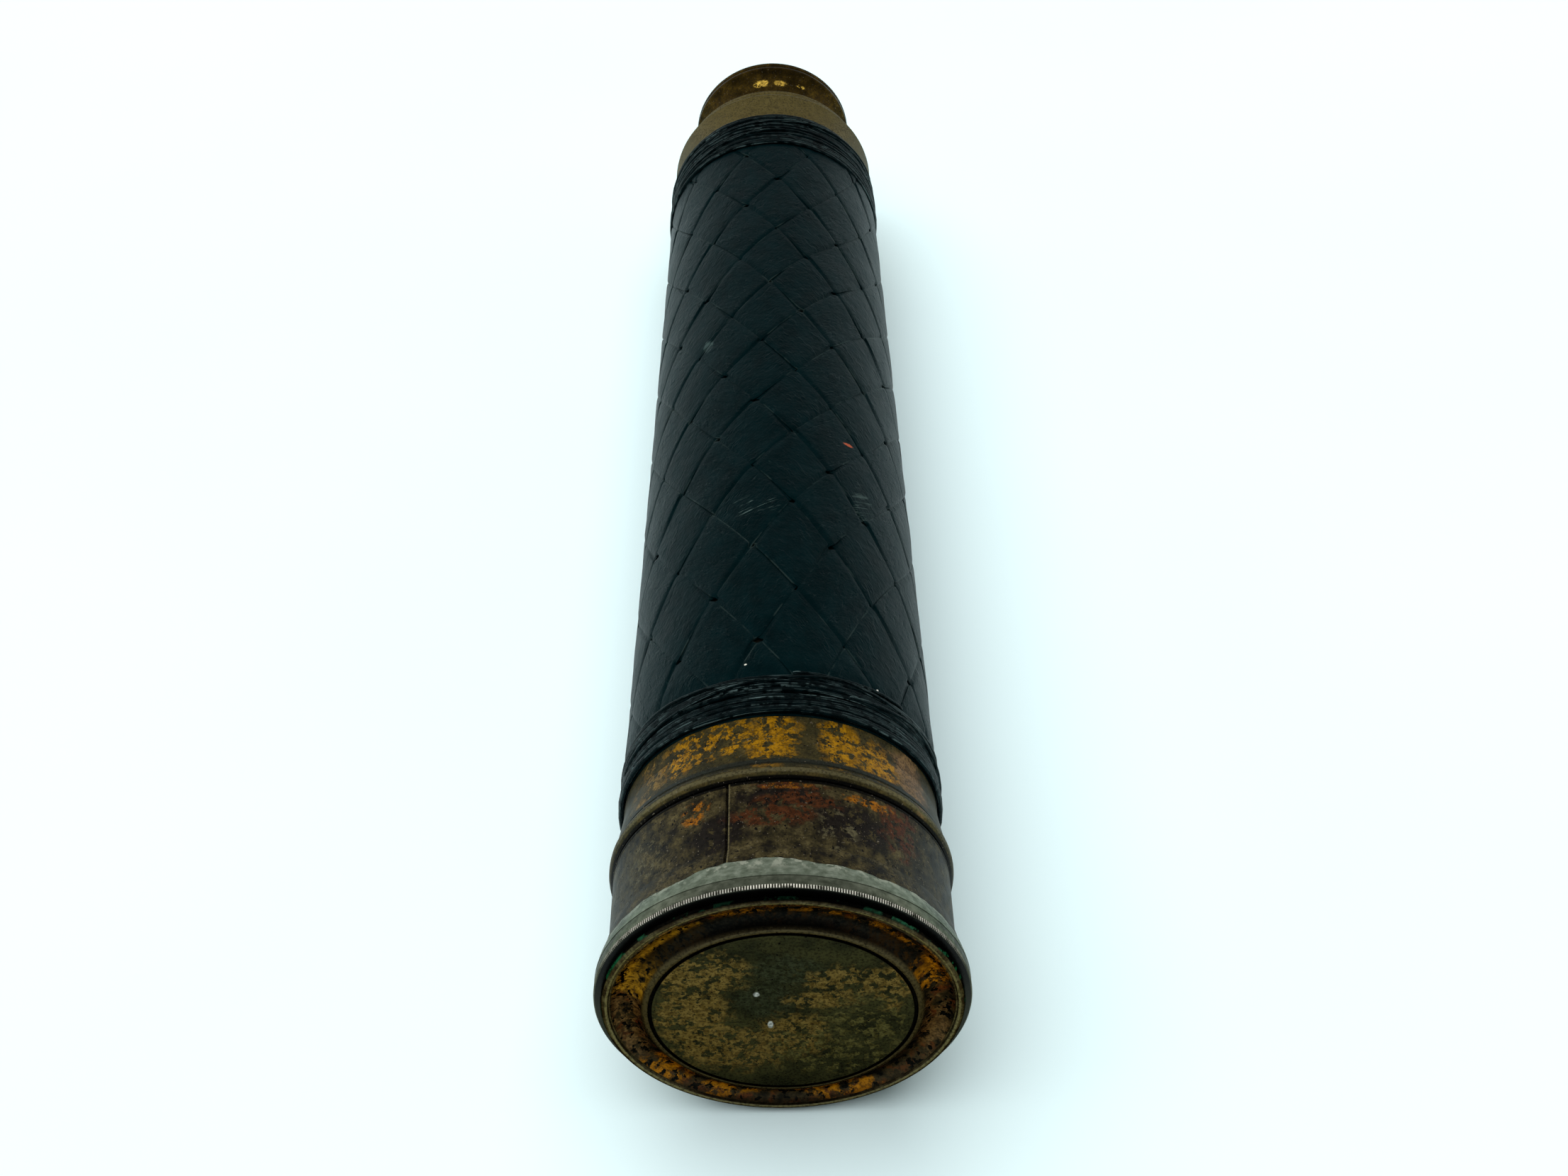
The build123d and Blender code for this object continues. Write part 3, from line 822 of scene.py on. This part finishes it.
def make_rear_ferrule(material):
    """Smooth band behind the rear whipping, softly rounded at its back edge."""
    outer, start, end = span("rear_ferrule")
    lip_r = span("first_draw_tube")[0] + 0.3
    inner = outer - 0.85
    outline = [(inner, start), (outer - 0.12, start), (outer, start + 0.15), (outer, end - 1.9)]
    outline += arc((outer, end - 1.9), (outer - 0.22, end - 0.62), (outer - 0.95, end - 0.02), 8)
    outline += [(outer - 1.1, end), (lip_r, end), (lip_r, end - 1.3), (inner, end - 1.3)]

    band = lathe("rear_ferrule_turned", outline, material, 256, dented(outer - 0.5, 3, 0.03, 0.2))
    stand_for(band, "barrel", "ferrule_brass", "rear_ferrule")


def make_collar(draw, material):
    """End collar of the first or second draw, with a fine turned line round its middle."""
    node = f"{draw}_collar"
    outer, start, end = span(node)
    inner = span(f"{draw}_draw_tube")[0]
    middle = (start + end) / 2
    corners = [(inner, start), (outer, start), (outer, middle - 0.25), (outer - 0.2, middle),
               (outer, middle + 0.25), (outer, end), (inner, end)]
    collar = lathe(f"{node}_turned", eased(corners, 0.3), material, 224)
    stand_for(collar, f"{draw}_draw", "draw_brass", node)


def make_bell(material):
    """Flared eyepiece: base ring, hollow waist, ringed rim and a dished eye cup."""
    rim_r, start, end = span("eyepiece_bell")
    tube_r, _, tube_end = span("third_draw_tube")
    seat_r, _, web = span("eyepiece_tube")
    outline = [(tube_r, start), (18.6, start), (18.9, start + 0.3), (18.9, 266.1), (18.7, 266.5)]
    outline += arc((18.6, 266.6), (17.1, 267.9), (16.5, 270.6), 10)
    outline += arc((16.5, 270.6), (17.15, 274.6), (19.6, 277.6), 12)
    outline += [(19.6, 277.6), (rim_r - 0.12, 277.85), (rim_r, 278.05), (rim_r, 278.75),
                (rim_r - 0.14, 278.95), (rim_r - 0.38, 279.1), (rim_r - 0.38, 279.4), (rim_r - 0.12, 279.6)]
    outline += arc((rim_r - 0.12, 279.6), (rim_r, 280.4), (rim_r - 0.5, end - 0.2), 6)
    outline += arc((rim_r - 0.5, end - 0.2), (19.1, end), (18.4, end - 0.25), 4)
    outline += arc((18.4, end - 0.25), (13.2, 276.3), (6.3, 273.7), 14)
    outline += [(6.3, 273.7), (5.6, 273.2), (5.5, web), (seat_r, web), (seat_r, tube_end), (tube_r, tube_end)]
    bell = lathe("eyepiece_bell_turned", outline, material, 256)
    stand_for(bell, "third_draw", "ferrule_brass", "eyepiece_bell")


# ---- plaited leather
STRIPS = 11  # strips laid each way round the barrel
CELL = 360 / STRIPS  # turn taken by one strip
PITCH = 22.0  # millimetres of barrel for one unit of the lays below
MIDDLE = 132.0  # station where those units start
STRIP_WIDTH = 12.6
STRIP_THICK = 0.30
HIGH, LOW = 1.04, 0.74  # top of a strip over and under its neighbours, above the barrel tube
PRESSED = 0.55  # share by which a whipping presses a strip down
UNDER_FRONT, UNDER_REAR = 11.5, 15.5  # lengths of the strips' ends that the whippings press
ACROSS = np.array([0.004, 0.012, 0.030, 0.06, 0.12, 0.3, 0.5, 0.7, 0.88, 0.94, 0.970, 0.988, 0.996])
MIDRIB = 6  # index of the middle of those shares across a strip


def steep_lay(station):
    """Turn of the strips that run to the right towards the objective."""
    s = (station - MIDDLE) / PITCH
    return 54.2 - 30.9 * s


def slack_lay(station):
    """Turn of the strips that run to the left towards the objective; laid less evenly."""
    s = (station - MIDDLE) / PITCH
    return -68.8 + 36.93 * s + 0.793 * s ** 2 - 0.284 * s ** 3


def smooth(value):
    value = np.clip(value, 0, 1)
    return value * value * (3 - 2 * value)


def barrel_line():
    """Outer radius of the barrel tube as a straight line: radius at station 0 and slope."""
    radius, start, end = span("barrel_tube")
    rear = np.array([v.co for v in frame["nodes"]["barrel_tube"].data.vertices]) / MM
    at_end = np.hypot(rear[:, 0], rear[:, 2])[rear[:, 1] > end - 0.01].max()
    slope = (at_end - radius) / (end - start)
    return radius - slope * start, slope


def strip_samples():
    """Places along one crossing, close together where a strip dives under its neighbour."""
    near = [0.0, 0.02, 0.045, 0.075, 0.11, 0.18]
    return near + [0.34, 0.5, 0.66] + [1 - v for v in reversed(near[1:])]


def strip_grid(number, steep, first, last):
    """Grid of one strip's points: their count in its own lay and in the other, and station."""
    stations = np.linspace(first - 60, last + 60, 900)
    gap = (steep_lay(stations) - slack_lay(stations)) / CELL
    order = np.argsort(gap)
    if steep:
        low, high = gap.min() + number, gap.max() + number + 1
    else:
        low, high = number - gap.max(), number + 1 - gap.min()
    cells = range(int(math.floor(low)), int(math.ceil(high)))
    along = np.array([cell + part for cell in cells for part in strip_samples()])
    mine, other = np.meshgrid(number + ACROSS, along)
    cross = other - mine if steep else mine - other
    station = np.interp(cross, gap[order], stations[order])
    inside = ((station >= first - 1.5) & (station <= last + 1.5)).any(axis=1)
    return mine[inside], other[inside], np.clip(station[inside], first, last)


def strip_turn(mine, other, station, number, steep):
    """Turn of a strip's points; its sides draw in at some crossings, which leaves small holes."""
    lay = steep_lay(station) if steep else slack_lay(station)
    crossing = np.rint(other) + 3 * number
    part = other - np.floor(other)
    pinch = (0.040 + 0.034 * np.sin(2.1 * crossing)) * np.exp(-((part + 0.5) % 1 - 0.5) ** 2 / 0.0020)
    return lay + CELL * mine + CELL * pinch * (0.5 - (mine - number)) / 0.5


def strip_top(mine, other, station, number, steep, first, last):
    """Height of a strip's top over the tube, and the share of it left under the whippings."""
    part = other - np.floor(other)
    share = mine - number
    over = (np.floor(other) + number + (0 if steep else 1)) % 2 == 0
    rise = smooth(np.minimum(part, 1 - part) / 0.07)
    edge = 1 - smooth(np.minimum(share, 1 - share) / 0.05)
    crown = 0.06 * np.sin(math.pi * share)
    top = np.where(over, LOW + 0.05 + (HIGH - LOW - 0.11) * rise, LOW - 0.06) + crown - 0.13 * edge
    press = 1 - PRESSED * smooth((first + UNDER_FRONT - station) / 3)
    press = press - PRESSED * smooth((station - last + UNDER_REAR) / 3)
    return top * press, press


def strip_rings(number, steep, first, last):
    """Closed rings of points round one strip, which wanders a little and is lumpy."""
    mine, other, station = strip_grid(number, steep, first, last)
    top, press = strip_top(mine, other, station, number, steep, first, last)
    radians = np.radians(strip_turn(mine, other, station, number, steep))
    drift = 1.6 * np.sin(2 * radians + station / 31) + 1.1 * np.sin(3 * radians - station / 17 + 1)
    sway = 0.55 * np.sin(3 * radians + station / 13)
    shifted = station + sway * smooth((station - first) / 8) * smooth((last - station) / 8)
    radians = radians + np.radians(drift * 0.5)
    lumps = 0.05 * np.sin(5 * radians + shifted / 4.1 + number) + 0.035 * np.sin(9 * radians - shifted / 2.3)
    tube_r, slope = barrel_line()
    base = tube_r + slope * shifted
    outer = base + top + lumps * press
    inner = base + np.maximum(top - STRIP_THICK * press, 0.02) + np.minimum(lumps, 0)

    def ring(radius):
        return np.stack([radius * np.sin(radians), shifted, radius * np.cos(radians)], -1)

    return np.concatenate([ring(outer), ring(inner)[:, ::-1]], axis=1)


def strip_mesh(number, steep, material, first, last):
    """One strip of the plain weave, over and under the other lay, as a closed ribbon."""
    rings = strip_rings(number, steep, first, last)
    rows, columns = rings.shape[:2]
    name = ("strip_right_" if steep else "strip_left_") + str(number + 1)
    mesh = bpy.data.meshes.new(name)
    mesh.from_pydata((rings.reshape(-1, 3) * MM).tolist(), [], skin(rows, columns, closed=False))
    run = np.cumsum(np.concatenate([[0], np.linalg.norm(np.diff(rings[:, MIDRIB], axis=0), axis=1)]))
    wide = np.concatenate([ACROSS, ACROSS[::-1]]) * STRIP_WIDTH
    corner = np.array([loop.vertex_index for loop in mesh.loops])
    values = np.stack([wide[corner % columns], run[corner // columns] + number * 37], -1) * MM
    mesh.uv_layers.new(name="strip").data.foreach_set("uv", values.astype(np.float32).ravel())
    strip = place_mesh(name, mesh, material, 60, merge=2e-6)
    stand_for(strip, "barrel", "plaited_leather", "plaited_cover")


def make_plait(material):
    _, first, last = span("plaited_cover")
    for number in range(STRIPS):
        for steep in (True, False):
            strip_mesh(number, steep, material, first, last)


# ---- cord whippings
CORD_THICK = 1.24
CORD_SIDES = 10
CORD_FLAT = 0.9  # height of a cord as a share of its width
CORD_BED = 0.42  # height above the barrel tube at which the cords lie
LAP_STEPS = 120  # points of a cord for each turn round the barrel
CROSSING_STEPS = 90
FIRST_TURN = 205  # turn at which a whipping starts, on the underside


def cord_tube(name, path, thick, material, node):
    """Round cord along a path of (turn, station, radius), its thickness uneven like real twine."""
    vertices = []
    runs = [0.0]
    last = None
    for turn, station, radius in path:
        out = Vector(around(turn, 1, 0))
        centre = out * radius + Vector((0, station, 0))
        if last is not None:
            runs.append(runs[-1] + (centre - last).length)
        last = centre
        width = thick / 2 * (0.90 + 0.06 * math.sin(runs[-1] * 0.31) + 0.05 * math.sin(runs[-1] * 1.73))
        for side in range(CORD_SIDES):
            angle = math.tau * side / CORD_SIDES
            flat = Vector((0, math.sin(angle) * width, 0))
            vertices.append(centre + out * (math.cos(angle) * width * CORD_FLAT) + flat)
    cord = finish_mesh(name, vertices, skin(len(path), CORD_SIDES, closed=False), material, 80)
    layer = cord.data.uv_layers.new(name="lay")
    for corner in cord.data.loops:
        row, side = divmod(corner.vertex_index, CORD_SIDES)
        along = runs[min(row, len(runs) - 1)] * MM
        layer.data[corner.index].uv = (along, math.pi * thick * side / CORD_SIDES * MM)
    stand_for(cord, "barrel", "whipping_cord", node)


def wound_path(turns, start, end, seat):
    """Path of one wound cord, whose turns lean, jostle and rise and fall; seat gives its radius."""
    half = CORD_THICK / 2
    pitch = (end - start - CORD_THICK) / (turns - 1)
    chance = random.Random(turns)
    jostle = [chance.uniform(-0.42, 0.42) for _ in range(turns + 3)]
    lift = [chance.uniform(-0.30, 0.18) for _ in range(turns + 3)]
    path = []
    for k in range(turns * LAP_STEPS + 1):
        done = k / LAP_STEPS
        whole, part = divmod(done, 1)
        blend = part * part * (3 - 2 * part)
        lap = int(whole)
        shift, raised = (row[lap] * (1 - blend) + row[lap + 1] * blend for row in (jostle, lift))
        turn = 360 * done + FIRST_TURN
        station = start + half + pitch * min(max(done - 0.5, 0), turns - 1) + shift
        station += wobble(turn, 2, 0.14, whole * 1.3)
        station = min(max(station, start + half + 0.3), end - half)
        tuck = min(1.0, done * 6, (turns - done) * 6)
        radius = seat(station) + raised - 0.75 * (1 - tuck) + wobble(turn, 5, 0.05, done)
        path.append((turn, station, radius))
    return path


def crossing_path(first, sweep, low, high, start, seat):
    """Path of a turn that climbs over its neighbours from one station to another."""
    path = []
    for k in range(CROSSING_STEPS + 1):
        part = k / CROSSING_STEPS
        station = start + low + (high - low) * (3 * part ** 2 - 2 * part ** 3)
        rise = 0.50 * math.sin(math.pi * part) ** 0.35
        path.append((first + sweep * part, station, seat(station) + rise))
    return path


def make_whipping(node, turns, material, low_end, crossings):
    """One wound cord and the turns that cross it: each a first turn, sweep and two stations."""
    _, start, end = span(node)
    base, slope = barrel_line()

    def seat(station):
        sunk = low_end * min(max((station - (end + start) / 2) / (end - start), 0), 0.5)
        return base + slope * station + CORD_BED + CORD_THICK / 2 * CORD_FLAT - sunk

    cord_tube(node + "_cord", wound_path(turns, start, end, seat), CORD_THICK, material, node)
    for number, crossing in enumerate(crossings):
        path = crossing_path(*crossing, start, seat)
        cord_tube(f"{node}_crossing_{number + 1}", path, CORD_THICK * 0.62, material, node)


FRONT_CROSSINGS = [(-75, 125, 4.6, 10.2), (5, 95, 9.9, 5.2), (-60, 75, 9.4, 7.4), (25, 60, 6.0, 9.2),
                   (130, 150, 2, 7)]
REAR_CROSSINGS = [(-35, 110, 9.5, 12.6), (-70, 90, 3.0, 6.4), (150, 120, 4, 9)]


# ---- floor and light
FLOOR_SIZE = 30.0  # half its width, in metres
FLOOR_TONES = ((0.3, (0.765, 0.945, 0.960)), (0.7, (0.790, 0.965, 0.980)))
SKY_LEVELS = ((0.0, 0.72), (0.26, 0.62), (0.48, 0.30), (0.66, 0.09), (1.0, 0.05))
SKY_RED = 0.97
LAMP_AIM = (0, 0.13, 0)  # middle of the barrel, in metres
BANK_PLACES = (("left_bank", -1.1), ("right_bank", 1.1))


def make_floor():
    """Pale floor, tilted to the line on which the mouth flange and the rear whipping rest."""
    rim_r, _, rim_end = span("shade_bezel")
    whip_r, _, whip_end = span("rear_whipping")
    mesh = bpy.data.meshes.new("floor")
    corners = [(x * FLOOR_SIZE, y * FLOOR_SIZE, 0) for x, y in ((-1, -1), (1, -1), (1, 1), (-1, 1))]
    mesh.from_pydata(corners, [], [(0, 1, 2, 3)])
    floor = bpy.data.objects.new("floor", mesh)
    floor.rotation_euler = (math.atan2(rim_r - whip_r, whip_end - 1 - rim_end), 0, 0)
    floor.location = (0, rim_end * MM, -(rim_r + 0.02) * MM)
    bpy.context.scene.collection.objects.link(floor)
    paint = Paint("floor_white", Roughness=0.75, Specular_IOR_Level=0.15)
    paint.colour(paint.ramp(paint.noise(160.0, 2.0), *FLOOR_TONES))
    mesh.materials.append(paint.material)


def make_world():
    """Soft studio surround: bright low down, dark overhead and towards the viewer."""
    world = bpy.data.worlds.new("studio")
    bpy.context.scene.world = world
    world.use_nodes = True
    sky = Nodes(world.node_tree, "Generated")
    height = sky.part(2)
    front = sky.node("ShaderNodeMapRange", Value=sky.part(1), From_Min=-0.7, From_Max=0.1, To_Min=0.35)
    horizon = sky.node("ShaderNodeMapRange", Value=height, From_Max=0.15, To_Min=1.0, To_Max=0.0)
    shades = [(position, (level * SKY_RED, level, level)) for position, level in SKY_LEVELS]
    background = sky.tree.nodes["Background"]
    sky.put(background.inputs["Color"], sky.ramp(height, *shades))
    sky.put(background.inputs["Strength"], sky.calc("MAXIMUM", front.outputs[0], horizon.outputs[0]))


def aim_lamp(name, kind, place, strength, glossy):
    """Lamp of a kind, placed and turned to look at the middle of the barrel."""
    data = bpy.data.lights.new(name, kind)
    data.energy = strength
    lamp = bpy.data.objects.new(name, data)
    lamp.location = place
    lamp.rotation_euler = (Vector(LAMP_AIM) - Vector(place)).to_track_quat("-Z", "Y").to_euler()
    lamp.visible_glossy = glossy
    lamp.visible_camera = False
    bpy.context.scene.collection.objects.link(lamp)
    return data


def make_light():
    make_world()
    sky = aim_lamp("overhead", "SUN", (-0.30, 0.25, 1.5), 3.45, False)
    sky.angle = math.radians(80)
    for name, side in BANK_PLACES:
        bank = aim_lamp(name, "AREA", (side, 0.3, 0.35), 1.2, True)
        bank.shape = "RECTANGLE"
        bank.size = 1.4
        bank.size_y = 0.6
    bpy.context.scene.view_settings.view_transform = "Standard"


# ---- assembly
SLOT_MATERIALS = {
    "cap_brass": "cap", "draw_brass": "drawn", "blackened_brass": "blackened", "optical_glass": "glass",
    "shade_brass": "shade", "ferrule_brass": "ferrule", "soft_solder": "solder",
    "plaited_leather": "leather", "whipping_cord": "cord",
}


def dress_cad_nodes(materials):
    """Gives the CAD pieces their materials by slot; the tube under the strips is painted near black."""
    for part in frame["record"]["subparts"]:
        mesh = frame["nodes"][part["node"]].data
        mesh.materials.clear()
        chosen = "under" if part["node"] == "barrel_tube" else SLOT_MATERIALS[part["material_slot"]]
        mesh.materials.append(materials[chosen])
        mesh.shade_smooth()


def make_materials():
    return {
        "cap": cap_material(),
        "shade": band_material("shade_brass_patina", 29.4, SHADE_TONES, SHADE_PATCHES, RAY_SHADE_BEAD_SHADOW,
                               pit=0.38, seam=SHADE_SEAM),
        "ferrule": band_material("front_ferrule_patina", 28.2, BAND_TONES, BAND_PATCHES, BAND_SHADE_AND_HIGHLIGHT_RINGS),
        "rear": band_material("rear_ferrule_patina", 25.1, REAR_TONES, rough=(0.38, 0.50), pit=0.22),
        "bell": band_material("eyepiece_patina", 18.0, BELL_TONES, BELL_PAINTED_GLINTS, BELL_SHADOW_AND_GROOVE_RINGS, (0.20, 0.38)),
        "drawn": drawn_brass_material(),
        # the tube under the strips shows only through the plait's small holes and is painted near black
        "under": band_material("barrel_tube_near_black", 26.0, UNDER_TONES, rough=(0.6, 0.8)),
        "blackened": blackened_material(),
        "glass": glass_material(),
        "solder": solder_material("soft_solder_grey", 0.5, SOLDER_TONES, (0.48, 0.36)),
        "rim": solder_material("tinned_rim", 0.65, RIM_TONES, (0.36, 0.26), (2.45, 0.38, RIM_TEETH)),
        "leather": leather_material(),
        "cord": cord_material(),
    }


make_camera()
materials = make_materials()
dress_cad_nodes(materials)
make_cap(materials["cap"])
make_shade(materials["shade"], materials["rim"], materials["solder"])
make_front_ferrule(materials["ferrule"])
make_rear_ferrule(materials["rear"])
for draw in ("first", "second"):
    make_collar(draw, materials["rear"])
make_bell(materials["bell"])
make_plait(materials["leather"])
make_whipping("front_whipping", 9, materials["cord"], 0.5, FRONT_CROSSINGS)
make_whipping("rear_whipping", 12, materials["cord"], 0.0, REAR_CROSSINGS)
make_floor()
make_light()
